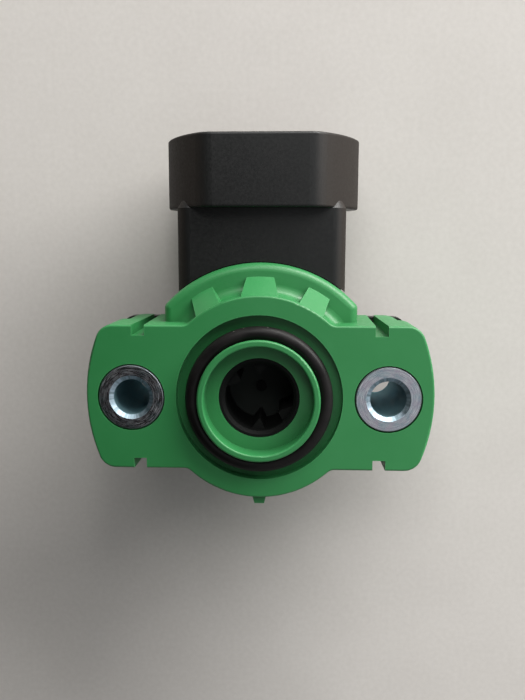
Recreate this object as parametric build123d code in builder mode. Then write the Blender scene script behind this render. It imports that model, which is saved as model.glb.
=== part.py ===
from build123d import *
import os
from math import cos, radians, sin

# A throttle position sensor in millimetres. The origin lies on the rotor's axis in the plane of the
# mounting face. +Z points out of that face and +Y towards the connector. Depths run back from the face.

# Mounting sleeves
BOLT_SPACING = 40.0
BUSH_R = 5.1
BUSH_BORE_R = 2.8
BUSH_LEAD = 0.66
BUSH_LEAD_DEPTH = 0.48
BUSH_EDGE = 0.15
BUSH_FIT = 0.06
RELIEF_W = 0.18
RELIEF_DEPTH = 0.8

# Front housing outline
BODY_DEPTH = 17.4
EAR_REACH = 7.05
EAR_HALF = 11.4
EAR_CORNER_R = 2.8
EAR_STEP = 9.0
EAR_SET_IN = 0.75
EAR_BACK_CORNER_R = 4.0
DISC_R = 16.0
DISC_BLEND_R = 1.6
FACE_EDGE_R = 0.35
NOTCH_INSET = 1.25
NOTCH_W = 2.0
NOTCH_DEPTH = 1.65
NOTCH_DRAFT = 1.2
TAB_ROOT_W = 2.2
TAB_TIP_W = 1.56
TAB_RISE = 1.25
TAB_FRONT = 0.9
TAB_BACK = 9.0

# Stepped rim beside the neck, and the ribs that hold it to the disc
RIM_R = 20.8
RIM_HALF = 15.4
RIM_SETBACK = 4.4
RIM_EDGE_R = 1.25
RIM_CORNER_R = 1.0
RIB_DROP = 0.5
RIB_STEP = 30.0
MIDDLE_RIB_W = (5.6, 3.2)
SIDE_RIB_W = (4.2, 3.4)
RIB_END_R = 18.65
RIB_FIELD = (40.0, 140.0)
GAP_FIELD = (20.0, 160.0)
GAP_FILLET_R = 1.6

# Boss, and the gland that holds the O-ring round it
BOSS_R = 9.45
BOSS_HEIGHT = 2.64
BOSS_BORE_R = 8.4
BOSS_FLOOR = 0.35
BOSS_EDGE_R = 0.3
RECESS_R = 12.98
RECESS_DEPTH = 1.9
SEAT_R = 10.7
SEAT_DEPTH = 0.3
GLAND_R = 9.15
GLAND_PLAY = 0.06
RING_SECTION_R = 1.1
RING_FIT = 0.05

# Inside of the front housing
FRONT_WALL = 3.9
CAVITY_R = 12.1
ROOT_DEPTH = 1.0
SLEEVE_R = 7.4
SLEEVE_GAP = 0.6
SEAL_IN_R = 13.0
SEAL_OUT_R = 14.2
SEAL_DEPTH = 1.0

# Rotor
RUN_FIT = 0.06
ROTOR_R = 6.26
ROTOR_FRONT = 0.5
SOCKET_R = 5.4
SOCKET_LEAD = 0.45
SOCKET_FLOOR = 10.5
TOOTH_FRONT = 1.8
TOOTH_A_TIP_R = 3.75
TOOTH_A_ANGLES = (72.0, 88.0, 92.0, 102.0)
TOOTH_B_TIP_R = 4.0
TOOTH_B_ANGLES = (131.0, 139.0, 147.0, 168.0)
GATE_R = 0.9
GATE_HEIGHT = 0.5
PLATE_R = 10.3
PLATE_T = 2.4
SHOULDER_R = 4.0
JOURNAL_R = 3.0
JOURNAL_LENGTH = 3.6

# Travel stops
TRAVEL = 95.0
STOP_MARGIN = 2.0
LUG_ANGLE = 220.0
LUG_SPAN = 16.0
LUG_R = 11.8
STOP_IN_R = 10.7
STOP_SPAN = 10.0
STOP_LEAD = 0.3
STOP_TAIL = 0.8

# Return spring, a flat spiral of half turns
SPRING_R = 8.6
SPRING_PITCH = 1.4
SPRING_HALF_TURNS = 5
SPRING_T = 0.35
SPRING_W = 6.0
SPRING_GAP = 0.8
SPRING_ANGLE = 60.0
SPRING_FIT = 0.12
POST_T = 0.55
POST_W = 2.4

# Board, films and wipers
BOARD_R = 12.4
BOARD_HOLE_R = 4.4
BOARD_SET = 1.6
BOARD_T = 1.0
FILM_T = 0.1
INNER_FILM_R = (5.2, 6.4)
OUTER_FILM_R = (7.7, 8.9)
FILM_LEAD = 14.0
SWITCH_SPLIT = 12.0
SPLIT_GAP = 5.0
POSITION_ANGLE = 180.0
SWITCH_ANGLE = 0.0
WIPER_SPACE = 4.4
WIPER_T = 0.3
WIPER_ROOT = 2.2
WIPER_END = 5.2
WIPER_TIP = 0.5
WIPER_GAP = 0.08
FINGER_CLEAR = 0.2

# Rear shell
CUP_R = 14.2
CUP_IN_R = 12.8
CUP_FLOOR_T = 2.0
CUP_EDGE_R = 1.0
PANEL_R = 12.4
PANEL_DEPTH = 0.4
LEDGE_R = 11.4
PIVOT_R = 5.2
PIVOT_SET = 2.2
PIVOT_END_PLAY = 0.4
PIVOT_FLOOR_T = 0.6
WASHER_T = 0.45
WASHER_PLAY = 0.15
WASHER_IN_R = 3.15
WASHER_OUT_R = 4.9
REAR_FLANGE_T = 2.4
REAR_DISC_R = 16.4
REAR_FLANGE_SET_IN = 0.25
REAR_FLANGE_SHY = 0.35
REAR_FLANGE_CORNER_R = 2.2

# Neck
NECK_HALF = 13.6
NECK_FRONT = 6.6
NECK_DROP = 6.6
NECK_CORNER_R = 2.2
NECK_RAMP = 1.55
NECK_RAMP_ANGLE = 32.0
RIM_FIT = 0.15
POCKET_W = 10.4
POCKET_WEB = 2.0
POCKET_START = 17.6
POCKET_END = 25.6
POCKET_DEPTH = 2.1
POCKET_CORNER_R = 1.0

# Connector shroud
SHROUD_START = 29.4
SHROUD_END = 40.8
SHROUD_FRONT = 4.3
SHROUD_HALF_T = 11.2
SHROUD_HALF_W = 16.15
SHROUD_FLAT = 9.0
FLANK_R = 20.0
SHROUD_EDGE_R = 4.0
SHROUD_RIM_R = 0.4
SHROUD_WALL = 1.9
SHROUD_FLOOR = 31.0
SOCKET_W = 23.0
SOCKET_T = 13.4
SOCKET_CORNER_R = 2.0
SOCKET_WEB = 2.8
LATCH_W = 6.0
LATCH_START = 34.2
LATCH_END = 37.4
LATCH_RISE = 1.0

# Terminals
BLADE_W = 1.5
BLADE_T = 0.8
BLADE_TIP = 36.2
BLADE_TAPER = 0.9
BLADE_PITCH = 6.0
ROW_PITCH = 6.0
JOG_CLEAR = 2.0
JOG_STEP = 1.6
TAIL_END = 9.4

os.makedirs("parts", exist_ok=True)


def polar(radius, angle):
    return (radius * cos(radians(angle)), radius * sin(radians(angle)))


def turned_plane(angle, depth):
    """A plane across the axis at a depth, with its x direction at the angle given."""
    return Plane((0, 0, -depth), x_dir=(*polar(1, angle), 0), z_dir=(0, 0, 1))


def axial_plane(angle):
    """A plane through the axis, with x outwards at the angle and y along +Z."""
    return Plane((0, 0, 0), x_dir=(*polar(1, angle), 0), z_dir=(*polar(1, angle - 90), 0))


def radial_plane(angle, radius):
    """A plane facing outwards at a radius, with x along the direction of travel and y along +Z."""
    out = (*polar(1, angle), 0)
    return Plane((*polar(radius, angle), 0), x_dir=(*polar(1, angle + 90), 0), z_dir=out)


def sector(inner, outer, start, end):
    """Draws a ring sector into the sketch that is open."""
    with BuildLine() as border:
        CenterArc((0, 0), inner, start, end - start)
        CenterArc((0, 0), outer, start, end - start)
        Line(polar(inner, start), polar(outer, start))
        Line(polar(inner, end), polar(outer, end))
    make_face(border.edges())


def save(piece, name):
    piece.part.label = name
    export_step(piece.part, f"parts/{name}.step")


# Places that follow from the sizes above. The inner pieces are stacked from the joint of the housings.
spring_out_r = SPRING_R + SPRING_PITCH * (SPRING_HALF_TURNS - 1) / 2
lug_start = LUG_ANGLE - LUG_SPAN / 2
lug_end = LUG_ANGLE + LUG_SPAN / 2
board_front = BODY_DEPTH + BOARD_SET
board_back = board_front + BOARD_T
plate_back = board_front - WIPER_SPACE
plate_front = plate_back - PLATE_T
sleeve_end = plate_front - SLEEVE_GAP
stop_front = plate_front - STOP_LEAD
stop_back = plate_back + STOP_TAIL
spring_back = plate_front - SPRING_GAP
spring_front = spring_back - SPRING_W
pivot_front = board_front + PIVOT_SET
shoulder_end = pivot_front - WASHER_T - WASHER_PLAY
journal_end = pivot_front + JOURNAL_LENGTH
pivot_bore_end = journal_end + PIVOT_END_PLAY
cup_floor = pivot_bore_end + PIVOT_FLOOR_T
cup_back = cup_floor + CUP_FLOOR_T
neck_back = BODY_DEPTH + NECK_DROP
front_jog = RIM_R + JOG_CLEAR
rear_jog = front_jog + JOG_STEP
socket_end = rear_jog + SOCKET_WEB
shroud_middle = SHROUD_FRONT + SHROUD_HALF_T
root_r = CAVITY_R + ROOT_DEPTH
ring_r = GLAND_R + RING_FIT + RING_SECTION_R
gland_top = 2 * RING_SECTION_R - SEAT_DEPTH + GLAND_PLAY
ear_tip_r = BOLT_SPACING / 2 + EAR_REACH
ear_back_r = ear_tip_r - EAR_SET_IN
rear_flange_r = ear_tip_r - REAR_FLANGE_SET_IN
bush_end = BODY_DEPTH + REAR_FLANGE_T
bolt_places = GridLocations(BOLT_SPACING, BOLT_SPACING, 2, 1)

# The gaps between the ribs, as one cutter that is rounded where its floor meets the disc's wall.
with BuildPart() as rib_gaps:
    with BuildSketch(Plane.XY.offset(-RIM_SETBACK)):
        sector(DISC_R, RIM_R, *GAP_FIELD)
        for rib, (root_w, tip_w) in ((-1, SIDE_RIB_W), (0, MIDDLE_RIB_W), (1, SIDE_RIB_W)):
            with PolarLocations(0, 1, 90 + rib * RIB_STEP):
                Polygon(
                    (0, -root_w / 2),
                    (DISC_R, -root_w / 2),
                    (RIM_R, -tip_w / 2),
                    (RIM_R, tip_w / 2),
                    (DISC_R, root_w / 2),
                    (0, root_w / 2),
                    align=None,
                    mode=Mode.SUBTRACT,
                )
    extrude(amount=RIM_SETBACK)
    floor_arcs = rib_gaps.edges().group_by(Axis.Z)[0].filter_by(GeomType.CIRCLE)
    fillet(floor_arcs.group_by(SortBy.RADIUS)[0], GAP_FILLET_R)

with BuildPart() as front_housing:
    # The rim comes first, so that its round edge is made before anything joins it.
    with BuildSketch(Plane.XY.offset(-BODY_DEPTH)) as rim_outline:
        Circle(RIM_R)
        with Locations((0, RIM_R / 2)):
            Rectangle(2 * RIM_HALF, RIM_R, mode=Mode.INTERSECT)
        fillet(rim_outline.vertices().sort_by(Axis.Y)[-2:], RIM_CORNER_R)
    extrude(amount=BODY_DEPTH - RIM_SETBACK)
    rim_edges = front_housing.faces().sort_by(Axis.Z)[-1].edges().sort_by(Axis.Y)[1:]
    fillet(rim_edges, RIM_EDGE_R)

    # A sloping flank from the disc's edge to the rim's face, with the gaps between its ribs cut out.
    with BuildSketch(axial_plane(RIB_FIELD[0])):
        Polygon(
            (CAVITY_R, -RIM_SETBACK),
            (CAVITY_R, -RIB_DROP),
            (DISC_R, -RIB_DROP),
            (RIB_END_R, -RIM_SETBACK),
            align=None,
        )
    revolve(axis=Axis.Z, revolution_arc=RIB_FIELD[1] - RIB_FIELD[0])
    add(rib_gaps.part, mode=Mode.SUBTRACT)

    # Ears and disc. Behind the step the ears' ends are set in.
    for ear_r, corner_r, back, front in (
        (ear_back_r, EAR_BACK_CORNER_R, BODY_DEPTH, EAR_STEP),
        (ear_tip_r, EAR_CORNER_R, EAR_STEP, 0),
    ):
        with BuildSketch(Plane.XY.offset(-back)) as face_outline:
            Circle(ear_r)
            Rectangle(2 * ear_r, 2 * EAR_HALF, mode=Mode.INTERSECT)
            fillet(face_outline.vertices(), corner_r)
            Circle(DISC_R)
            inner_corners = [v for v in face_outline.vertices() if abs(v.X) < DISC_R]
            fillet(inner_corners, DISC_BLEND_R)
        extrude(amount=back - front)

    face_edges = front_housing.faces().sort_by(Axis.Z)[-1].outer_wire().edges()
    fillet(face_edges, FACE_EDGE_R)

    # Slots in the ears' long edges, narrower towards the back, and the tab below the disc.
    with BuildSketch(Plane.XY):
        with GridLocations(BOLT_SPACING - 2 * NOTCH_INSET, 2 * EAR_HALF, 2, 2):
            Rectangle(NOTCH_W, 2 * NOTCH_DEPTH)
    extrude(amount=-BODY_DEPTH, taper=NOTCH_DRAFT, mode=Mode.SUBTRACT)
    with BuildSketch(Plane.XY.offset(-TAB_BACK)):
        Polygon(
            (-TAB_ROOT_W / 2, -root_r),
            (-TAB_ROOT_W / 2, -DISC_R),
            (-TAB_TIP_W / 2, -DISC_R - TAB_RISE),
            (TAB_TIP_W / 2, -DISC_R - TAB_RISE),
            (TAB_ROOT_W / 2, -DISC_R),
            (TAB_ROOT_W / 2, -root_r),
            align=None,
        )
    extrude(amount=TAB_BACK - TAB_FRONT)

    # Boss, with a seat for the O-ring at its foot, a groove above the seat and a deeper recess round it.
    with BuildSketch(Plane.XY):
        Circle(BOSS_R)
    extrude(amount=BOSS_HEIGHT)
    with BuildSketch(Plane.XZ):
        Polygon(
            (GLAND_R, gland_top),
            (GLAND_R, -SEAT_DEPTH),
            (SEAT_R, -SEAT_DEPTH),
            (SEAT_R, -RECESS_DEPTH),
            (RECESS_R, -RECESS_DEPTH),
            (RECESS_R, gland_top),
            align=None,
        )
    revolve(axis=Axis.Z, mode=Mode.SUBTRACT)
    with BuildSketch(Plane.XY.offset(-BOSS_FLOOR)):
        Circle(BOSS_BORE_R)
    extrude(amount=BOSS_FLOOR + BOSS_HEIGHT, mode=Mode.SUBTRACT)
    fillet(front_housing.faces().sort_by(Axis.Z)[-1].edges(), BOSS_EDGE_R)

    # Hollow behind the face, with the rotor's sleeve standing in it.
    with BuildSketch(Plane.XY.offset(-BODY_DEPTH)):
        Circle(CAVITY_R)
    extrude(amount=BODY_DEPTH - FRONT_WALL, mode=Mode.SUBTRACT)
    with BuildSketch(Plane.XY.offset(-sleeve_end)):
        Circle(SLEEVE_R)
    extrude(amount=sleeve_end - FRONT_WALL)
    with BuildSketch(Plane.XY.offset(-sleeve_end)):
        Circle(ROTOR_R + RUN_FIT)
    extrude(amount=sleeve_end + BOSS_HEIGHT, mode=Mode.SUBTRACT)

    # The two travel stops, and the slotted block that holds the spring's outer end.
    with BuildSketch(Plane.XY.offset(-stop_back)):
        stop_low = lug_start - STOP_MARGIN
        stop_high = lug_end + TRAVEL + STOP_MARGIN
        sector(STOP_IN_R, root_r, stop_low - STOP_SPAN, stop_low)
        sector(STOP_IN_R, root_r, stop_high, stop_high + STOP_SPAN)
    extrude(amount=stop_back - stop_front)
    with BuildSketch(turned_plane(SPRING_ANGLE, spring_back)):
        Circle(root_r)
        Circle(spring_out_r + SPRING_T / 2 + SPRING_FIT, mode=Mode.SUBTRACT)
        Circle(spring_out_r - SPRING_T / 2 - SPRING_FIT)
        Circle(spring_out_r - SPRING_T / 2 - SPRING_FIT - POST_T, mode=Mode.SUBTRACT)
        with Locations((-CAVITY_R, 0)):
            Rectangle(CAVITY_R, POST_W, mode=Mode.INTERSECT)
    extrude(amount=spring_back - FRONT_WALL)

    # Groove for the seal, and the sleeves' holes with a narrow relief round their mouths.
    with BuildSketch(Plane.XY.offset(-BODY_DEPTH)):
        Circle(SEAL_OUT_R)
        Circle(SEAL_IN_R, mode=Mode.SUBTRACT)
    extrude(amount=SEAL_DEPTH, mode=Mode.SUBTRACT)
    with BuildSketch(Plane.XY):
        with bolt_places:
            Circle(BUSH_R + BUSH_FIT)
    extrude(amount=-BODY_DEPTH, mode=Mode.SUBTRACT)
    with BuildSketch(Plane.XY):
        with bolt_places:
            Circle(BUSH_R + RELIEF_W)
    extrude(amount=-RELIEF_DEPTH, mode=Mode.SUBTRACT)

# Sleeves through both housings, with a lead at each end of the bore.
for side, bush_name in ((-1, "bushing_left"), (1, "bushing_right")):
    bush_plane = Plane((side * BOLT_SPACING / 2, 0, 0), x_dir=(1, 0, 0), z_dir=(0, -1, 0))
    with BuildPart() as bushing:
        with BuildSketch(bush_plane):
            Polygon(
                (BUSH_BORE_R + BUSH_LEAD, 0),
                (BUSH_R - BUSH_EDGE, 0),
                (BUSH_R, -BUSH_EDGE),
                (BUSH_R, BUSH_EDGE - bush_end),
                (BUSH_R - BUSH_EDGE, -bush_end),
                (BUSH_BORE_R + BUSH_LEAD, -bush_end),
                (BUSH_BORE_R, BUSH_LEAD_DEPTH - bush_end),
                (BUSH_BORE_R, -BUSH_LEAD_DEPTH),
                align=None,
            )
        revolve(axis=Axis(bush_plane.origin, (0, 0, 1)))
    save(bushing, bush_name)

with BuildPart() as flange_o_ring:
    with BuildSketch(Plane.XZ):
        with Locations((ring_r, RING_SECTION_R - SEAT_DEPTH)):
            Circle(RING_SECTION_R)
    revolve(axis=Axis.Z)

with BuildPart() as housing_seal:
    with BuildSketch(Plane.XY.offset(-BODY_DEPTH)):
        Circle(SEAL_OUT_R)
        Circle(SEAL_IN_R, mode=Mode.SUBTRACT)
    extrude(amount=SEAL_DEPTH)

with BuildPart() as rotor:
    with BuildSketch(Plane.XY.offset(-plate_front)):
        Circle(ROTOR_R)
    extrude(amount=plate_front - ROTOR_FRONT)
    with BuildSketch(Plane.XY.offset(-plate_back)):
        Circle(PLATE_R)
    extrude(amount=plate_back - plate_front)
    with BuildSketch(Plane.XY.offset(-plate_back)):
        sector(SHOULDER_R, LUG_R, lug_start, lug_end)
    extrude(amount=plate_back - plate_front)
    with BuildSketch(Plane.XY.offset(-shoulder_end)):
        Circle(SHOULDER_R)
    extrude(amount=shoulder_end - plate_back)
    with BuildSketch(Plane.XY.offset(-journal_end)):
        Circle(JOURNAL_R)
    extrude(amount=journal_end - shoulder_end)

    # Toothed socket: a plain mouth, then two pairs of unequal teeth.
    with BuildSketch(Plane.XY.offset(-TOOTH_FRONT)):
        Circle(SOCKET_R)
    extrude(amount=TOOTH_FRONT - ROTOR_FRONT, mode=Mode.SUBTRACT)
    mouth_edge = rotor.edges().filter_by(GeomType.CIRCLE).sort_by(Axis.Z)[-2:].sort_by(SortBy.RADIUS)[0]
    chamfer(mouth_edge, SOCKET_LEAD)
    with BuildSketch(Plane.XY.offset(-SOCKET_FLOOR)):
        Circle(SOCKET_R)
        with PolarLocations(0, 2):
            for tip_r, angles in ((TOOTH_A_TIP_R, TOOTH_A_ANGLES), (TOOTH_B_TIP_R, TOOTH_B_ANGLES)):
                Polygon(
                    polar(ROTOR_R, angles[0]),
                    polar(tip_r, angles[1]),
                    polar(tip_r, angles[2]),
                    polar(ROTOR_R, angles[3]),
                    align=None,
                    mode=Mode.SUBTRACT,
                )
        Circle(GATE_R, mode=Mode.SUBTRACT)
    extrude(amount=SOCKET_FLOOR - TOOTH_FRONT, mode=Mode.SUBTRACT)
    with BuildSketch(Plane.XY.offset(-SOCKET_FLOOR + GATE_HEIGHT)):
        Circle(GATE_R)
    extrude(amount=SOCKET_FLOOR - GATE_HEIGHT - TOOTH_FRONT, mode=Mode.SUBTRACT)

    # Slotted post for the spring's inner end.
    with BuildSketch(turned_plane(SPRING_ANGLE, plate_front)):
        Circle(SPRING_R + SPRING_T / 2 + SPRING_FIT + POST_T)
        Circle(SPRING_R + SPRING_T / 2 + SPRING_FIT, mode=Mode.SUBTRACT)
        Circle(SPRING_R - SPRING_T / 2 - SPRING_FIT)
        Circle(SPRING_R - SPRING_T / 2 - SPRING_FIT - POST_T, mode=Mode.SUBTRACT)
        with Locations((SPRING_R, 0)):
            Rectangle(SPRING_R, POST_W, mode=Mode.INTERSECT)
    extrude(amount=plate_front - spring_front)

with BuildPart() as return_spring:
    with BuildSketch(turned_plane(SPRING_ANGLE, spring_back)):
        with BuildLine():
            for half in range(SPRING_HALF_TURNS):
                centre = (SPRING_PITCH / 2 * (half % 2), 0)
                radius = SPRING_R + SPRING_PITCH / 2 * half
                CenterArc(centre, radius - SPRING_T / 2, 180 * (half % 2), 180)
                CenterArc(centre, radius + SPRING_T / 2, 180 * (half % 2), 180)
            Line((SPRING_R - SPRING_T / 2, 0), (SPRING_R + SPRING_T / 2, 0))
            Line((-spring_out_r + SPRING_T / 2, 0), (-spring_out_r - SPRING_T / 2, 0))
        make_face()
    extrude(amount=spring_back - spring_front)

with BuildPart() as track_board:
    with BuildSketch(Plane.XY.offset(-board_back)):
        Circle(BOARD_R)
        Circle(BOARD_HOLE_R, mode=Mode.SUBTRACT)
    extrude(amount=BOARD_T)

with BuildPart() as resistive_track:
    with BuildSketch(Plane.XY.offset(-board_front)):
        sector(*OUTER_FILM_R, POSITION_ANGLE - FILM_LEAD, POSITION_ANGLE + TRAVEL + FILM_LEAD)
    extrude(amount=FILM_T)

with BuildPart() as conductor_tracks:
    with BuildSketch(Plane.XY.offset(-board_front)):
        sector(*INNER_FILM_R, POSITION_ANGLE - FILM_LEAD, POSITION_ANGLE + TRAVEL + FILM_LEAD)
        sector(*INNER_FILM_R, SWITCH_ANGLE - FILM_LEAD, SWITCH_ANGLE + TRAVEL + FILM_LEAD)
        sector(*OUTER_FILM_R, SWITCH_ANGLE - FILM_LEAD, SWITCH_ANGLE + SWITCH_SPLIT)
        sector(*OUTER_FILM_R, SWITCH_ANGLE + SWITCH_SPLIT + SPLIT_GAP, SWITCH_ANGLE + TRAVEL + FILM_LEAD)
    extrude(amount=FILM_T)

tip_level = -board_front + FILM_T + WIPER_GAP
for wiper_name, wiper_angle in (("position_wiper", POSITION_ANGLE), ("switch_wiper", SWITCH_ANGLE)):
    with BuildPart() as wiper:
        with BuildSketch(radial_plane(wiper_angle, INNER_FILM_R[0] + FINGER_CLEAR)):
            Polygon(
                (WIPER_END, -plate_back),
                (WIPER_ROOT, -plate_back),
                (-WIPER_TIP, tip_level + WIPER_T),
                (-WIPER_TIP, tip_level),
                (WIPER_T, tip_level),
                (WIPER_ROOT + WIPER_T, -plate_back - WIPER_T),
                (WIPER_END, -plate_back - WIPER_T),
                align=None,
            )
        extrude(amount=OUTER_FILM_R[1] - INNER_FILM_R[0] - 2 * FINGER_CLEAR)
        with BuildSketch(turned_plane(wiper_angle, board_front)):
            with Locations(((INNER_FILM_R[1] + OUTER_FILM_R[0]) / 2, 0)):
                Rectangle(OUTER_FILM_R[0] - INNER_FILM_R[1] + 2 * FINGER_CLEAR, 2 * WIPER_ROOT)
        extrude(amount=board_front - plate_back - WIPER_T, mode=Mode.SUBTRACT)
    save(wiper, wiper_name)

with BuildPart() as thrust_washer:
    with BuildSketch(Plane.XY.offset(-pivot_front)):
        Circle(WASHER_OUT_R)
        Circle(WASHER_IN_R, mode=Mode.SUBTRACT)
    extrude(amount=WASHER_T)

# Blades, numbered along the front row and then along the rear row. Each steps back inside the neck
# and ends flat on one side of the board.
half_t = BLADE_T / 2
row_front = -shroud_middle + ROW_PITCH / 2
row_rear = -shroud_middle - ROW_PITCH / 2
blades = [(row_front, -board_front + half_t, front_jog), (row_rear, -board_back - half_t, rear_jog)]
terminals = []
for row_z, tail_z, jog in blades:
    for column in (-1, 0, 1):
        with BuildPart() as terminal:
            with BuildSketch(Plane.YZ.offset(column * BLADE_PITCH - BLADE_W / 2)):
                Polygon(
                    (BLADE_TIP, row_z + half_t / 2),
                    (BLADE_TIP - BLADE_TAPER, row_z + half_t),
                    (jog - half_t, row_z + half_t),
                    (jog - half_t, tail_z + half_t),
                    (TAIL_END, tail_z + half_t),
                    (TAIL_END, tail_z - half_t),
                    (jog + half_t, tail_z - half_t),
                    (jog + half_t, row_z - half_t),
                    (BLADE_TIP - BLADE_TAPER, row_z - half_t),
                    (BLADE_TIP, row_z - half_t / 2),
                    align=None,
                )
            extrude(amount=BLADE_W)
        terminals.append(terminal)
        save(terminal, f"terminal_{len(terminals)}")

# Sections across the connector, with x to the right and y running back in depth.
neck_plane = Plane((0, 0, 0), x_dir=(1, 0, 0), z_dir=(0, 1, 0))
shroud_plane = Plane((0, 0, -shroud_middle), x_dir=(1, 0, 0), z_dir=(0, 1, 0))
with BuildPart() as connector_housing:
    # Shroud: flat front and back, with wide curved flanks between them.
    with BuildSketch(shroud_plane.offset(SHROUD_START)) as shroud_outline:
        with BuildLine():
            Line((-SHROUD_FLAT, SHROUD_HALF_T), (SHROUD_FLAT, SHROUD_HALF_T))
            RadiusArc((SHROUD_FLAT, SHROUD_HALF_T), (SHROUD_HALF_W, 0), FLANK_R)
            RadiusArc((SHROUD_HALF_W, 0), (SHROUD_FLAT, -SHROUD_HALF_T), FLANK_R)
            Line((SHROUD_FLAT, -SHROUD_HALF_T), (-SHROUD_FLAT, -SHROUD_HALF_T))
            RadiusArc((-SHROUD_FLAT, -SHROUD_HALF_T), (-SHROUD_HALF_W, 0), FLANK_R)
            RadiusArc((-SHROUD_HALF_W, 0), (-SHROUD_FLAT, SHROUD_HALF_T), FLANK_R)
        make_face()
        fillet(shroud_outline.vertices(), SHROUD_EDGE_R)
    extrude(amount=SHROUD_END - SHROUD_START)
    fillet(connector_housing.faces().sort_by(Axis.Y)[0].edges(), SHROUD_RIM_R)
    fillet(connector_housing.faces().sort_by(Axis.Y)[-1].edges(), SHROUD_RIM_R)
    with BuildSketch(shroud_plane.offset(SHROUD_FLOOR)):
        add(shroud_outline.sketch_local)
        offset(amount=-SHROUD_WALL, mode=Mode.REPLACE)
    extrude(amount=SHROUD_END - SHROUD_FLOOR, mode=Mode.SUBTRACT)

    # Neck, with sloping ends where its corners stand out of the shroud's flanks. It is trimmed to stand
    # clear of the front housing's rim.
    with BuildSketch(neck_plane) as neck_outline:
        with Locations((0, (NECK_FRONT + neck_back) / 2)):
            Rectangle(2 * NECK_HALF, neck_back - NECK_FRONT)
        fillet(neck_outline.vertices(), NECK_CORNER_R)
    extrude(amount=SHROUD_START)
    with BuildSketch(neck_plane.offset(SHROUD_START)):
        add(neck_outline.sketch_local)
    extrude(amount=NECK_RAMP, taper=NECK_RAMP_ANGLE)
    with BuildSketch(Plane.XY.offset(-BODY_DEPTH)):
        Circle(RIM_R + RIM_FIT)
    extrude(amount=BODY_DEPTH, mode=Mode.SUBTRACT)

    # Cup and the flange behind the ears.
    with BuildSketch(Plane.XY.offset(-cup_back)):
        Circle(CUP_R)
    extrude(amount=cup_back - BODY_DEPTH)
    fillet(connector_housing.faces().sort_by(Axis.Z)[0].edges(), CUP_EDGE_R)
    with BuildSketch(Plane.XY.offset(-BODY_DEPTH)) as flange_outline:
        Circle(rear_flange_r)
        Rectangle(2 * rear_flange_r, 2 * (EAR_HALF - REAR_FLANGE_SHY), mode=Mode.INTERSECT)
        fillet(flange_outline.vertices(), REAR_FLANGE_CORNER_R)
        Circle(REAR_DISC_R)
        with bolt_places:
            Circle(BUSH_R + BUSH_FIT, mode=Mode.SUBTRACT)
    extrude(amount=-REAR_FLANGE_T)

    # Hollow of the cup: a ledge under the board and the rotor's rear bearing.
    with BuildSketch(Plane.XY.offset(-board_back)):
        Circle(CUP_IN_R)
    extrude(amount=board_back - BODY_DEPTH, mode=Mode.SUBTRACT)
    with BuildSketch(Plane.XY.offset(-cup_floor)):
        Circle(LEDGE_R)
    extrude(amount=cup_floor - board_back, mode=Mode.SUBTRACT)
    with BuildSketch(Plane.XY.offset(-cup_floor)):
        Circle(PIVOT_R)
    extrude(amount=cup_floor - pivot_front)
    with BuildSketch(Plane.XY.offset(-pivot_bore_end)):
        Circle(JOURNAL_R + RUN_FIT)
    extrude(amount=pivot_bore_end - pivot_front, mode=Mode.SUBTRACT)

    # Shallow panel on the back, and the neck's two cored pockets.
    with BuildSketch(Plane.XY.offset(-cup_back)):
        Circle(PANEL_R)
    extrude(amount=PANEL_DEPTH, mode=Mode.SUBTRACT)
    with BuildSketch(Plane.XY.offset(-neck_back)) as pockets:
        with Locations((0, (POCKET_START + POCKET_END) / 2)):
            with GridLocations(POCKET_W + POCKET_WEB, POCKET_W, 2, 1):
                Rectangle(POCKET_W, POCKET_END - POCKET_START)
        fillet(pockets.vertices(), POCKET_CORNER_R)
    extrude(amount=POCKET_DEPTH, mode=Mode.SUBTRACT)

    # Inner socket of the connector, the latch ramp behind the shroud, and the blades' places.
    with BuildSketch(shroud_plane.offset(socket_end)) as socket_outline:
        Rectangle(SOCKET_W, SOCKET_T)
        fillet(socket_outline.vertices(), SOCKET_CORNER_R)
    extrude(amount=SHROUD_FLOOR - socket_end, mode=Mode.SUBTRACT)
    shroud_back = -shroud_middle - SHROUD_HALF_T
    with BuildSketch(Plane.YZ.offset(-LATCH_W / 2)):
        Polygon(
            (LATCH_START, shroud_back + SHROUD_WALL / 2),
            (LATCH_START, shroud_back - LATCH_RISE),
            (LATCH_END, shroud_back),
            (LATCH_END, shroud_back + SHROUD_WALL / 2),
            align=None,
        )
    extrude(amount=LATCH_W)
    for terminal in terminals:
        add(terminal.part, mode=Mode.SUBTRACT)

for piece, piece_name in (
    (front_housing, "front_housing"),
    (connector_housing, "connector_housing"),
    (flange_o_ring, "flange_o_ring"),
    (housing_seal, "housing_seal"),
    (rotor, "rotor"),
    (return_spring, "return_spring"),
    (track_board, "track_board"),
    (resistive_track, "resistive_track"),
    (conductor_tracks, "conductor_tracks"),
    (thrust_washer, "thrust_washer"),
):
    save(piece, piece_name)
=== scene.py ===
import math

import bpy
from mathutils import Matrix, Vector


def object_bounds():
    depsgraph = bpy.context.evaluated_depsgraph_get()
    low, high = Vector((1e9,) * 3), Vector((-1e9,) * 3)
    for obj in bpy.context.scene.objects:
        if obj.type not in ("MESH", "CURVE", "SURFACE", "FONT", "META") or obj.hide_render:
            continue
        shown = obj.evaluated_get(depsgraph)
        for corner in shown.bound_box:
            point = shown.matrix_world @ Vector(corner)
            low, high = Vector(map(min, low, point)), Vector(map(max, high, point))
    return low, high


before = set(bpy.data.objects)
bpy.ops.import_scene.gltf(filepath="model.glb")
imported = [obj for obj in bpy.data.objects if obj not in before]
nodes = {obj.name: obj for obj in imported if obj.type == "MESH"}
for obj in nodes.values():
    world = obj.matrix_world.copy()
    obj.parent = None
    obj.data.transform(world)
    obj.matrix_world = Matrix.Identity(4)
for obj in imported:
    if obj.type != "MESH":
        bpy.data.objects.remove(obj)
cad_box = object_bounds()

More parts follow.
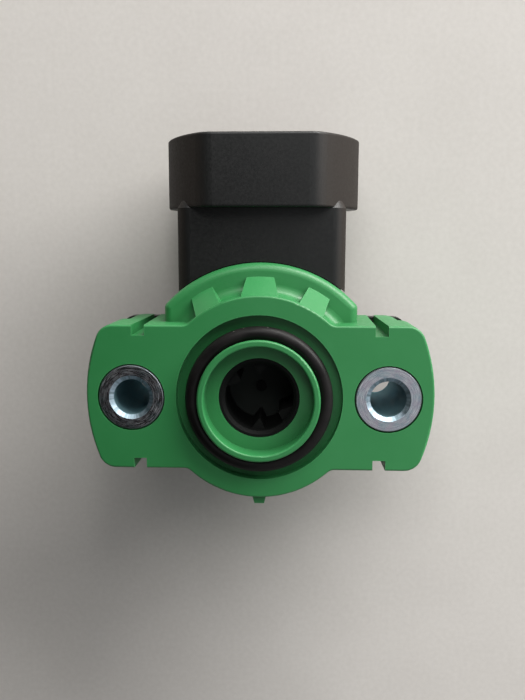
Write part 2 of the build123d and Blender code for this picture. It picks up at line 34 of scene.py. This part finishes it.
# Lengths are in metres, in the part's own frame: +Z out of the mounting face, +Y towards the connector.
MM = 0.001
FLOOR_Z = cad_box[0][2]

# Windows on the values of a noise, which lie round 0.5: the narrower, the harder the patches.
WIDE = (0.3, 0.7)
MIDDLE = (0.35, 0.65)
HIGH = (0.35, 0.7)

# Marks that several finishes share: edges lighter by wear, on the green partly by a painted highlight;
# painted shade darkening slots and corners; and dusty specks
EDGE_SAMPLES = 6
EDGE_TURN = (0.995, 0.85)
HOLLOW_SAMPLES = 8
HOLLOW_OPEN = (0.3, 0.85)
SPECK_FADE = (0.05, 0.03)
SPECK_RARE = 0.72

# Green and rotor mouldings
CLOUD_SIZE = 9 * MM
CLOUD_SHARE = 0.6
FLECK_SIZE = 0.5 * MM
GRAIN_SIZE = 0.28 * MM
SINK_SIZE = 7 * MM
EDGE_W = 0.25 * MM
# Edges are painted lighter in flecks: partly wear, partly a painted highlight on the rounded edges.
EDGE_WEAR_AND_HIGHLIGHT = (0.35, 0.6, 0.3, 1.0)
# Slots and corners within this reach are painted darker towards the deep colour: painted shade.
HOLLOW_REACH = 2.5 * MM
HOLLOW_LEAST = 0.6
# Below a given height the surface is coloured lighter, fading in over this distance.
LIGHTER_FLOOR_FADE = 0.3 * MM
MOULDED_ROUGH = (-0.05, 0.06)

# Black moulding, with hairline scuffs along and across it. Each kind has its stretch and its window.
BLACK_CLOUD_SIZE = 6 * MM
BLACK_FLECK_SIZE = 0.4 * MM
BLACK_GRAIN_SIZE = 0.3 * MM
BLACK_EDGE_W = 0.3 * MM
BLACK_EDGE_WEAR = (0.1, 0.8)
BLACK_ROUGH = (-0.06, 0.06)
BLACK_DUST_SIZE = 2.6 * MM
BLACK_DUST_SHARE = 0.5
# Surfaces turned sideways get a brownish tint, a painted reflection of warm surroundings, and a coarser
# roughness.
FLANK_TURN = (0.2, 0.75)
HAIR_W = 0.35 * MM
HAIR_BEND = 0.4
HAIRS = (
    ((0.06, 1.0, 1.0), (0.71, 0.78)),
    ((1.0, 0.05, 1.0), (0.72, 0.79)),
)
SCUFFED = (0.45, 0.9)
SCUFF_SHARE = 0.35
SCUFF_DEPTH = -0.5

# Plated sleeves: their axes left and right of the middle, their bore, a radius between the lead and the
# outer edge painted darker as painted shade, their outside, and the marks of turning
BOLT_X = 20 * MM
BORE_R = 2.8 * MM
LEAD_R = 4.0 * MM
SLEEVE_R = 5.1 * MM
ACROSS_AXIS = (1.0, 1.0, 0.0)
FACE_LEVEL = 0.9
RING_PITCH = 0.09 * MM
RING_ROUND = (3.4, 3.4, 0.0)
RING_DETAIL = 3.0
RING_SHARE = 0.75
RING_WINDOW = (0.42, 0.72)
RING_ROUGH = (0.0, 0.3)
RING_DEPTH = 2.2e-5
CHATTER_ROUND = (7.0, 7.0, 0.0)
CHATTER_WINDOW = (0.42, 0.64, 0.0, 0.8)
PATCH_SIZE = 1.6 * MM
PATCH_WINDOW = (0.38, 0.62)
STREAK_WINDOW = (0.34, 0.66)
PIT_SIZE = 0.16 * MM
PIT_DEPTH = 8e-6
LEAD_COVER = 0.85
LEAD_DULL = 0.22
# The outer edge is painted darker, as painted shade that tones down its highlight, and made rougher.
EDGE_SHADE_FADE = (SLEEVE_R - 0.2 * MM, SLEEVE_R - 0.15 * MM)
EDGE_DULL = 0.35
# The bore is painted a dark colour and made mostly non-metallic, as painted shade; deeper in, the colour
# grows lighter, as painted light against the shade there.
BORE_FADE = (BORE_R + 0.03 * MM, BORE_R)
BORE_DEPTHS = (-1.5 * MM, -11 * MM)
BORE_METAL = 0.25
BORE_DULL = 0.2

# Rubber
BLOOM_SIZE = 3.5 * MM
BLOOM_WINDOW = (0.4, 0.7)
RUBBER_ROUGH = (-0.06, 0.12)
RUBBER_DUST_SIZE = 1.8 * MM
RUBBER_DUST = (0.22, 0.21, 0.2)
RUBBER_GRAIN_SIZE = 0.35 * MM
RUBBER_GRAIN = 5e-6

# Strip metal, printed films and boards
DRAWN_SIZE = 0.12 * MM
DRAWN_ROUGH = (-0.08, 0.08)
DRAWN_DEPTH = 2e-6
TARNISH_SIZE = 1.8 * MM
SPECKLE_SIZE = 0.15 * MM
SPECKLE_ROUGH = (-0.05, 0.05)
SPECKLE_DEPTH = 3e-6

# Stage: a pale table, and a dark card overhead at the left, which the camera doesn't see
TABLE_SIZE = 6.0
TABLE_COLOURS = ((0.6, 0.574, 0.543), (0.642, 0.616, 0.585))
TABLE_FINE = 0.9 * MM
TABLE_COARSE = 14 * MM
TABLE_FINE_SHARE = 0.6
CARD_SIZE = (145 * MM, 202 * MM)
CARD_PLACE = (-78.5 * MM, -16 * MM, 76 * MM)
CARD_COLOURS = ((0.01, 0.01, 0.01), (0.02, 0.02, 0.02))
CARD_CLOUD_SIZE = 20 * MM

# Light of the room, which grows from the dim side to the bright one
ROOM_WAY = (0.8, 0.1, 0.3)
ROOM_WINDOW = (-0.65, 0.95)
ROOM_COLOURS = ((0.07, 0.06, 0.052), (1.15, 1.17, 1.2))
ROOM_STRENGTH = 0.5

# The photograph's camera: its place, its turns about X, Y and Z in degrees, and its focal length in pixels
CAMERA_PLACE = (4.661 * MM, 23.6212 * MM, 107.6723 * MM)
CAMERA_TURNS = (-8.4466, 2.1761, 0.4337)
CAMERA_NEAR = 2 * MM
SENSOR = 36
FOCAL_PX = 710
PHOTO_HEIGHT_PX = 700


def wire(tree, socket, value):
    """Links a socket, or sets a constant."""
    if isinstance(value, bpy.types.NodeSocket):
        tree.links.new(value, socket)
    else:
        socket.default_value = value


def operate(tree, kind, operation, values):
    made = tree.nodes.new(kind)
    made.operation = operation
    for socket, value in zip(made.inputs, values):
        wire(tree, socket, value)
    return made


def calc(tree, operation, *values):
    return operate(tree, "ShaderNodeMath", operation, values).outputs[0]


def plus(tree, first, second):
    return calc(tree, "ADD", first, second)


def times(tree, first, second):
    return calc(tree, "MULTIPLY", first, second)


def larger(tree, first, second):
    return calc(tree, "MAXIMUM", first, second)


def rest_of(tree, value):
    """What is left of 1."""
    return calc(tree, "SUBTRACT", 1.0, value)


def weighed(tree, first, second, share):
    """The first value by its share, and the second by the rest."""
    return plus(tree, times(tree, first, share), times(tree, second, 1 - share))


def vector_calc(tree, operation, *values):
    made = operate(tree, "ShaderNodeVectorMath", operation, values)
    return made.outputs["Value" if operation in ("LENGTH", "DOT_PRODUCT") else "Vector"]


def axes(tree, vector):
    """A vector's three parts."""
    made = tree.nodes.new("ShaderNodeSeparateXYZ")
    wire(tree, made.inputs[0], vector)
    return made.outputs


def facing_way(tree, kind="Normal"):
    return tree.nodes.new("ShaderNodeNewGeometry").outputs[kind]


def noise(tree, vector, size, detail=2.0, distortion=0.0):
    """Noise whose features are about the given size."""
    made = tree.nodes.new("ShaderNodeTexNoise")
    wire(tree, made.inputs["Vector"], vector)
    made.inputs["Scale"].default_value = 1 / size
    made.inputs["Detail"].default_value = detail
    made.inputs["Distortion"].default_value = distortion
    return made.outputs[0]


def spread(tree, value, low, high, to_low=0.0, to_high=1.0):
    """Maps low to to_low and high to to_high, and goes no further."""
    made = tree.nodes.new("ShaderNodeMapRange")
    for name, item in (
        ("Value", value), ("From Min", low), ("From Max", high), ("To Min", to_low), ("To Max", to_high),
    ):
        wire(tree, made.inputs[name], item)
    return made.outputs[0]


def roughened(tree, value, window, rough, change):
    """A roughness that follows a noise, changed by so much at each end of the window."""
    return spread(tree, value, *window, rough + change[0], rough + change[1])


def specks(tree, vector, size):
    """1 in small round specks, at most one to a cell of the given size, and 0 elsewhere."""
    made = tree.nodes.new("ShaderNodeTexVoronoi")
    wire(tree, made.inputs["Vector"], vector)
    made.inputs["Scale"].default_value = 1 / size
    near = spread(tree, made.outputs["Distance"], *SPECK_FADE)
    chosen = tree.nodes.new("ShaderNodeSeparateColor")
    wire(tree, chosen.inputs[0], made.outputs["Color"])
    return times(tree, near, calc(tree, "GREATER_THAN", chosen.outputs[0], SPECK_RARE))


def blend_colour(tree, factor, first, second):
    """Mixes two colours, on the sockets that a mix node keeps for them."""
    made = tree.nodes.new("ShaderNodeMix")
    made.data_type = "RGBA"
    for index, value in ((0, factor), (6, first), (7, second)):
        wire(tree, made.inputs[index], (*value, 1) if isinstance(value, tuple) else value)
    return made.outputs[2]


def bump(tree, height, distance, under=None):
    made = tree.nodes.new("ShaderNodeBump")
    made.inputs["Distance"].default_value = distance
    wire(tree, made.inputs["Height"], height)
    if under is not None:
        wire(tree, made.inputs["Normal"], under)
    return made.outputs[0]


def edges(tree, radius):
    """1 along sharp edges, 0 on open faces."""
    soft = tree.nodes.new("ShaderNodeBevel")
    soft.samples = EDGE_SAMPLES
    soft.inputs["Radius"].default_value = radius
    turn = vector_calc(tree, "DOT_PRODUCT", soft.outputs[0], facing_way(tree))
    return spread(tree, turn, *EDGE_TURN)


def painted_hollow_shade(tree, reach, least):
    """1 on open faces, down to the least value deep in slots and corners: a mask for painted shade there.
    """
    made = tree.nodes.new("ShaderNodeAmbientOcclusion")
    made.samples = HOLLOW_SAMPLES
    made.inputs["Distance"].default_value = reach
    return spread(tree, made.outputs["AO"], *HOLLOW_OPEN, least, 1.0)


def begin(name, **constants):
    """A new material with its tree, its main shader and object coordinates."""
    made = bpy.data.materials.new(name)
    made.use_nodes = True
    tree = made.node_tree
    main = tree.nodes["Principled BSDF"]
    for key, value in constants.items():
        main.inputs[key.replace("_", " ")].default_value = value
    coords = tree.nodes.new("ShaderNodeTexCoord").outputs["Object"]
    return made, tree, main, coords


def dress(tree, main, base, rough, normal):
    wire(tree, main.inputs["Base Color"], base)
    wire(tree, main.inputs["Roughness"], rough)
    wire(tree, main.inputs["Normal"], normal)


def plastic(name, first, second, edge, deep, rough, grain, wave, shine, lighter_floor=None):
    """Moulded plastic: cloudy colour, a fine grain, faint sinks, edges lighter by wear and a painted
    highlight, and painted shade darkening slots and corners.

    A lighter floor is given as the height below which the surface is coloured lighter, and that colour."""
    made, tree, main, coords = begin(name, Specular_IOR_Level=shine)
    cloud = spread(tree, noise(tree, coords, CLOUD_SIZE, detail=3.0), *MIDDLE)
    fleck = noise(tree, coords, FLECK_SIZE)
    base = blend_colour(tree, weighed(tree, cloud, fleck, CLOUD_SHARE), first, second)
    # Lighter edges: partly wear, partly a painted highlight.
    worn_and_painted_edge = times(tree, edges(tree, EDGE_W), spread(tree, fleck, *EDGE_WEAR_AND_HIGHLIGHT))
    base = blend_colour(tree, worn_and_painted_edge, base, edge)
    # Painted shade: slots and corners are darkened towards the deep colour.
    base = blend_colour(tree, painted_hollow_shade(tree, HOLLOW_REACH, HOLLOW_LEAST), deep, base)
    # The surface below the given height is coloured lighter.
    if lighter_floor:
        level, dust_and_lighter_floor = lighter_floor
        low = spread(tree, axes(tree, coords)[2], level, level - LIGHTER_FLOOR_FADE)
        base = blend_colour(tree, low, base, dust_and_lighter_floor)
    sinks = bump(tree, noise(tree, coords, SINK_SIZE, detail=1.0), wave)
    normal = bump(tree, noise(tree, coords, GRAIN_SIZE), grain, sinks)
    dress(tree, main, base, roughened(tree, fleck, WIDE, rough, MOULDED_ROUGH), normal)
    return made


def scuffed_plastic(name, first, second, flank_painted_reflection, edge, rough, flank_rough, grain, shine):
    """Black moulded plastic with hairline scuffs, a few dusty specks, and coarser flanks tinted brown as a
    painted reflection.
    """
    made, tree, main, coords = begin(name, Specular_IOR_Level=shine)
    cloud = spread(tree, noise(tree, coords, BLACK_CLOUD_SIZE, detail=4.0), *MIDDLE)
    fleck = noise(tree, coords, BLACK_FLECK_SIZE)
    hairs = []
    for stretch, window in HAIRS:
        stretched = vector_calc(tree, "MULTIPLY", coords, stretch)
        lines = noise(tree, stretched, HAIR_W, detail=1.0, distortion=HAIR_BEND)
        hairs.append(spread(tree, lines, *window))
    scuff = times(tree, larger(tree, *hairs), spread(tree, cloud, *SCUFFED))
    dust_and_lighter_floor = times(tree, specks(tree, coords, BLACK_DUST_SIZE), BLACK_DUST_SHARE)
    worn_and_painted_edge = times(tree, edges(tree, BLACK_EDGE_W), spread(tree, fleck, *MIDDLE, *BLACK_EDGE_WEAR))
    mark = larger(tree, larger(tree, worn_and_painted_edge, times(tree, scuff, SCUFF_SHARE)), dust_and_lighter_floor)
    turn = calc(tree, "ABSOLUTE", axes(tree, facing_way(tree))[0])
    sideways = spread(tree, turn, *FLANK_TURN)
    # Painted reflection: sideways-facing flanks are tinted brown.
    base = blend_colour(tree, sideways, blend_colour(tree, cloud, first, second), flank_painted_reflection)
    plain = spread(tree, sideways, 0.0, 1.0, rough, flank_rough)
    height = plus(tree, noise(tree, coords, BLACK_GRAIN_SIZE), times(tree, scuff, SCUFF_DEPTH))
    dress(
        tree, main,
        blend_colour(tree, mark, base, edge),
        plus(tree, plain, spread(tree, fleck, *WIDE, *BLACK_ROUGH)),
        bump(tree, height, grain),
    )
    return made


def turned_metal(name, centre, pale, blue, violet, mouth, deep, worn_and_painted_edge, rough):
    """Plated steel with turned rings, chatter marks on its lead, an outer edge painted darker as painted
    shade, and a dull bore painted dark as painted shade and lighter with depth as painted light.
    """
    made, tree, main, coords = begin(name, Anisotropic=0.3, Specular_IOR_Level=0.2)
    local = vector_calc(tree, "SUBTRACT", coords, centre)
    flat = vector_calc(tree, "MULTIPLY", local, ACROSS_AXIS)
    radius = vector_calc(tree, "LENGTH", flat)
    height = axes(tree, local)[2]
    level = calc(tree, "ABSOLUTE", axes(tree, facing_way(tree, "True Normal"))[2])
    facing = calc(tree, "GREATER_THAN", level, FACE_LEVEL)
    aside = rest_of(tree, facing)

    # The rings follow the radius on faces, and the height elsewhere.
    place = plus(tree, times(tree, radius, facing), times(tree, height, aside))
    across = tree.nodes.new("ShaderNodeCombineXYZ")
    wire(tree, across.inputs[2], calc(tree, "DIVIDE", place, RING_PITCH))
    ring_way = vector_calc(tree, "NORMALIZE", flat)
    around = vector_calc(tree, "MULTIPLY", ring_way, RING_ROUND)
    rings = noise(tree, vector_calc(tree, "ADD", around, across.outputs[0]), 1.0, RING_DETAIL)
    chatter = noise(tree, vector_calc(tree, "MULTIPLY", ring_way, CHATTER_ROUND), 1.0, RING_DETAIL)
    patch = noise(tree, coords, PATCH_SIZE, detail=3.0)

    in_bore = spread(tree, radius, *BORE_FADE)
    # The outer edge, painted darker as painted shade.
    painted_shade_edge = spread(tree, radius, *EDGE_SHADE_FADE)
    on_lead = times(tree, aside, calc(tree, "LESS_THAN", radius, LEAD_R))
    tint = blend_colour(tree, spread(tree, patch, *PATCH_WINDOW), blue, violet)
    streak = weighed(tree, rings, patch, RING_SHARE)
    face = blend_colour(tree, spread(tree, streak, *STREAK_WINDOW), tint, pale)
    lead = blend_colour(tree, spread(tree, chatter, *CHATTER_WINDOW), blue, mouth)
    face = blend_colour(tree, times(tree, on_lead, LEAD_COVER), face, lead)
    face = blend_colour(tree, painted_shade_edge, face, worn_and_painted_edge)
    # Painted shade in the bore, growing lighter with depth as painted light.
    painted_bore_tone = blend_colour(tree, spread(tree, height, *BORE_DEPTHS), mouth, deep)

    dull = plus(tree, times(tree, on_lead, LEAD_DULL), times(tree, painted_shade_edge, EDGE_DULL))
    dull = plus(tree, dull, times(tree, in_bore, BORE_DULL))
    plated = roughened(tree, rings, RING_WINDOW, rough, RING_ROUGH)
    pits = noise(tree, coords, PIT_SIZE)
    normal = bump(tree, pits, PIT_DEPTH, bump(tree, rings, RING_DEPTH))
    dress(tree, main, blend_colour(tree, in_bore, face, painted_bore_tone), plus(tree, plated, dull), normal)
    # The bore's lower metallic share is part of its painted shade.
    wire(tree, main.inputs["Metallic"], spread(tree, in_bore, 0.0, 1.0, 1.0, BORE_METAL))
    tangent = tree.nodes.new("ShaderNodeTangent")
    tangent.direction_type = "RADIAL"
    tangent.axis = "Z"
    wire(tree, main.inputs["Tangent"], tangent.outputs[0])
    return made


def rubber(name, first, second, rough, shine):
    """Smooth rubber with faint bloom and dusty specks clinging to it."""
    made, tree, main, coords = begin(name, Specular_IOR_Level=shine)
    bloom = noise(tree, coords, BLOOM_SIZE, detail=4.0)
    base = blend_colour(tree, spread(tree, bloom, *BLOOM_WINDOW), first, second)
    base = blend_colour(tree, specks(tree, coords, RUBBER_DUST_SIZE), base, RUBBER_DUST)
    normal = bump(tree, noise(tree, coords, RUBBER_GRAIN_SIZE), RUBBER_GRAIN)
    dress(tree, main, base, roughened(tree, bloom, HIGH, rough, RUBBER_ROUGH), normal)
    return made


def sheet_metal(name, first, second, rough, grain_way):
    """Rolled or drawn metal with a grain along one direction and cloudy tarnish."""
    made, tree, main, coords = begin(name, Metallic=1.0)
    drawn = noise(tree, vector_calc(tree, "MULTIPLY", coords, grain_way), DRAWN_SIZE)
    tarnish = spread(tree, noise(tree, coords, TARNISH_SIZE, detail=3.0), *HIGH)
    base = blend_colour(tree, tarnish, first, second)
    normal = bump(tree, drawn, DRAWN_DEPTH)
    dress(tree, main, base, roughened(tree, drawn, WIDE, rough, DRAWN_ROUGH), normal)
    return made


def printed(name, first, second, rough, metallic):
    """A printed film or a matt board, with a fine speckle."""
    made, tree, main, coords = begin(name, Metallic=metallic)
    speckle = noise(tree, coords, SPECKLE_SIZE, detail=3.0)
    base = blend_colour(tree, speckle, first, second)
    normal = bump(tree, speckle, SPECKLE_DEPTH)
    dress(tree, main, base, roughened(tree, speckle, WIDE, rough, SPECKLE_ROUGH), normal)
    return made


def sleeve_finish(name, side):
    return turned_metal(
        name,
        centre=(side * BOLT_X, 0, 0),
        pale=(0.74, 0.78, 0.81),
        blue=(0.39, 0.52, 0.6),
        violet=(0.55, 0.44, 0.58),
        # The mouth and deep colours are the bore's painted shade, lighter with depth as painted light.
        mouth=(0.08, 0.15, 0.17),
        deep=(0.2, 0.46, 0.54),
        # The edge colour is painted shade on the sleeve's outer edge.
        worn_and_painted_edge=(0.2, 0.225, 0.24),
        rough=0.16,
    )


CONTACT = sheet_metal(
    "contact_strip", first=(0.62, 0.43, 0.22), second=(0.78, 0.6, 0.36), rough=0.3, grain_way=(1, 0.1, 1),
)
BLADE = sheet_metal(
    "tinned_blade", first=(0.6, 0.58, 0.54), second=(0.74, 0.72, 0.67), rough=0.32, grain_way=(1, 0.06, 1),
)
FINISHES = {
    "front_housing": plastic(
        "green_moulding",
        first=(0.026, 0.205, 0.058),
        second=(0.034, 0.225, 0.07),
        # Lighter edge colour: partly wear, partly a painted highlight.
        edge=(0.06, 0.29, 0.1),
        # The deep colour is painted shade in slots and corners.
        deep=(0.008, 0.085, 0.022),
        rough=0.41,
        grain=3e-6,
        wave=2.2e-5,
        shine=0.48,
    ),
    "connector_housing": scuffed_plastic(
        "black_moulding",
        first=(0.0062, 0.0067, 0.0067),
        second=(0.0074, 0.0078, 0.0078),
        # The flank colour is a painted reflection of warm surroundings.
        flank_painted_reflection=(0.0115, 0.007, 0.004),
        edge=(0.02, 0.0188, 0.018),
        rough=0.42,
        flank_rough=0.72,
        grain=2.5e-6,
        shine=0.46,
    ),
    "rotor": plastic(
        "rotor_moulding",
        first=(0.004, 0.0044, 0.0042),
        second=(0.0055, 0.006, 0.0058),
        edge=(0.009, 0.009, 0.009),
        # The deep colour is painted shade in slots and corners.
        deep=(0.003, 0.003, 0.003),
        rough=0.66,
        grain=5e-6,
        wave=1e-5,
        shine=0.14,
        # The rotor's floor below this height is coloured lighter.
        lighter_floor=(-10.0 * MM, (0.026, 0.031, 0.028)),
    ),
    "flange_o_ring": rubber(
        "o_ring_rubber",
        first=(0.005, 0.0045, 0.0045),
        second=(0.01, 0.0088, 0.0088),
        rough=0.42,
        shine=0.2,
    ),
    "housing_seal": rubber(
        "seal_rubber",
        first=(0.1, 0.03, 0.02),
        second=(0.14, 0.045, 0.03),
        rough=0.5,
        shine=0.5,
    ),
    "bushing_left": sleeve_finish("turned_zinc_left", -1),
    "bushing_right": sleeve_finish("turned_zinc_right", 1),
    "return_spring": sheet_metal(
        "spring_strip",
        first=(0.42, 0.42, 0.43),
        second=(0.55, 0.54, 0.52),
        rough=0.34,
        grain_way=(1, 1, 0.08),
    ),
    "track_board": printed(
        "board_face", first=(0.62, 0.6, 0.54), second=(0.72, 0.7, 0.64), rough=0.55, metallic=0.0,
    ),
    "resistive_track": printed(
        "carbon_film", first=(0.012, 0.012, 0.013), second=(0.03, 0.03, 0.03), rough=0.5, metallic=0.0,
    ),
    "conductor_tracks": printed(
        "silver_film", first=(0.6, 0.6, 0.57), second=(0.76, 0.75, 0.72), rough=0.42, metallic=1.0,
    ),
    "thrust_washer": printed(
        "washer_face", first=(0.6, 0.56, 0.46), second=(0.72, 0.68, 0.58), rough=0.5, metallic=0.0,
    ),
    "position_wiper": CONTACT,
    "switch_wiper": CONTACT,
    "terminal_1": BLADE,
    "terminal_2": BLADE,
    "terminal_3": BLADE,
    "terminal_4": BLADE,
    "terminal_5": BLADE,
    "terminal_6": BLADE,
}
for name, thing in nodes.items():
    thing.data.materials.clear()
    thing.data.materials.append(FINISHES[name])


def flat_sheet(name, width, length, place, finish):
    """A flat piece of the stage, level and facing up."""
    half_w = width / 2
    half_l = length / 2
    corners = [(-half_w, -half_l, 0), (half_w, -half_l, 0), (half_w, half_l, 0), (-half_w, half_l, 0)]
    mesh = bpy.data.meshes.new(name)
    mesh.from_pydata(corners, [], [(0, 1, 2, 3)])
    mesh.materials.append(finish)
    made = bpy.data.objects.new(name, mesh)
    made.location = place
    bpy.context.scene.collection.objects.link(made)
    return made


def table_finish():
    made, tree, main, coords = begin("table_top", Roughness=0.75, Specular_IOR_Level=0.15)
    fine = noise(tree, coords, TABLE_FINE, detail=3.0)
    coarse = noise(tree, coords, TABLE_COARSE, detail=3.0)
    mottle = spread(tree, weighed(tree, fine, coarse, TABLE_FINE_SHARE), *MIDDLE)
    wire(tree, main.inputs["Base Color"], blend_colour(tree, mottle, *TABLE_COLOURS))
    return made


def card_finish():
    made, tree, main, coords = begin("camera_body_face", Roughness=0.6)
    cloud = noise(tree, coords, CARD_CLOUD_SIZE)
    wire(tree, main.inputs["Base Color"], blend_colour(tree, cloud, *CARD_COLOURS))
    return made


def lamp(name, place, target, width, height, power, colour):
    """A rectangular lamp that faces its target."""
    data = bpy.data.lights.new(name, "AREA")
    data.shape = "RECTANGLE"
    data.size = width
    data.size_y = height
    data.energy = power
    data.color = colour
    made = bpy.data.objects.new(name, data)
    made.location = place
    made.rotation_euler = (Vector(target) - Vector(place)).to_track_quat("-Z", "Y").to_euler()
    bpy.context.scene.collection.objects.link(made)


flat_sheet("table", TABLE_SIZE, TABLE_SIZE, (0, 0, FLOOR_Z), table_finish())
shade_card = flat_sheet("camera_body", *CARD_SIZE, CARD_PLACE, card_finish())
shade_card.visible_camera = False

# A low window beyond the connector, to its right, and a higher, weaker lamp straight beyond it.
lamp(
    "window", place=(0.74, 0.98, 0.3), target=(0, 0, 0),
    width=1.4, height=0.6, power=34.0, colour=(1.0, 0.985, 0.96),
)
lamp(
    "skylight", place=(-0.06, 0.62, 0.66), target=(0, 0.03, 0),
    width=0.5, height=0.5, power=3.6, colour=(1.0, 0.99, 0.97),
)

world = bpy.data.worlds.new("room")
bpy.context.scene.world = world
world.use_nodes = True
room = world.node_tree
sky = room.nodes["Background"]
look_way = room.nodes.new("ShaderNodeTexCoord").outputs["Generated"]
lift = spread(room, vector_calc(room, "DOT_PRODUCT", look_way, ROOM_WAY), *ROOM_WINDOW)
wire(room, sky.inputs["Color"], blend_colour(room, lift, *ROOM_COLOURS))
sky.inputs["Strength"].default_value = ROOM_STRENGTH

lens = bpy.data.cameras.new("photo_camera")
lens.sensor_width = SENSOR
lens.lens = SENSOR * FOCAL_PX / PHOTO_HEIGHT_PX
lens.clip_start = CAMERA_NEAR
camera = bpy.data.objects.new("photo_camera", lens)
camera_pose = Matrix.Translation(CAMERA_PLACE)
for axis, angle in zip("XYZ", CAMERA_TURNS):
    camera_pose = camera_pose @ Matrix.Rotation(math.radians(angle), 4, axis)
camera.matrix_world = camera_pose
bpy.context.scene.collection.objects.link(camera)
bpy.context.scene.camera = camera
bpy.context.scene.view_settings.view_transform = "Standard"
